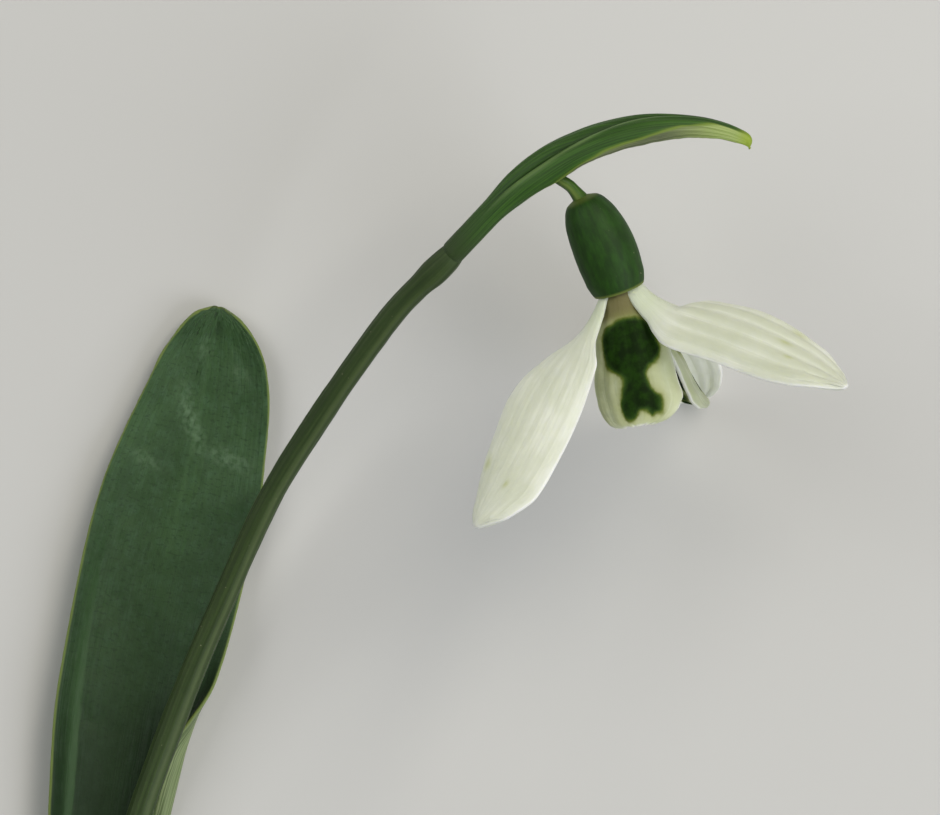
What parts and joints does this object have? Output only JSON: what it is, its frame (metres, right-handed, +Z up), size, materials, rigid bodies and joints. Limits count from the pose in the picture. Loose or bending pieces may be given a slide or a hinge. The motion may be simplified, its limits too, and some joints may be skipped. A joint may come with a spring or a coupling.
{
  "type": "snowdrop flower",
  "caption": "Nodding white snowdrop with spread outer petals, green-marked inner petals, an arching stem and a broad strap leaf, lying down.",
  "frame": {"origin": "middle of the bounding box on the table it lies on", "axes": "+Z up from the table, +Y from the cut ends towards the flower, +X to the side the flower hangs on"},
  "size_m": [0.0727, 0.0872, 0.033],
  "materials": {
    "stem_green": "satin",
    "leaf_green": "matt, with a waxy bloom",
    "spathe_green": "satin, thin membrane between two keels",
    "stalk_green": "satin",
    "ovary_green": "smooth, slightly waxy",
    "petal_white": "soft, finely ribbed",
    "inner_petal": "soft, with a green mark",
    "pollen_orange": "matt, grainy",
    "style_green": "satin"
  },
  "bodies": {
    "root": {"scape": "stem_green", "leaf": "leaf_green", "spathe": "spathe_green", "pedicel": "stalk_green", "ovary": "ovary_green", "outer_tepal_left": "petal_white", "outer_tepal_right": "petal_white", "outer_tepal_back": "petal_white", "inner_tepal_front": "inner_petal", "inner_tepal_right": "inner_petal", "inner_tepal_left": "inner_petal", "stamen_1": "pollen_orange", "stamen_2": "pollen_orange", "stamen_3": "pollen_orange", "stamen_4": "pollen_orange", "stamen_5": "pollen_orange", "stamen_6": "pollen_orange", "style": "style_green"}
  },
  "joints": []
}
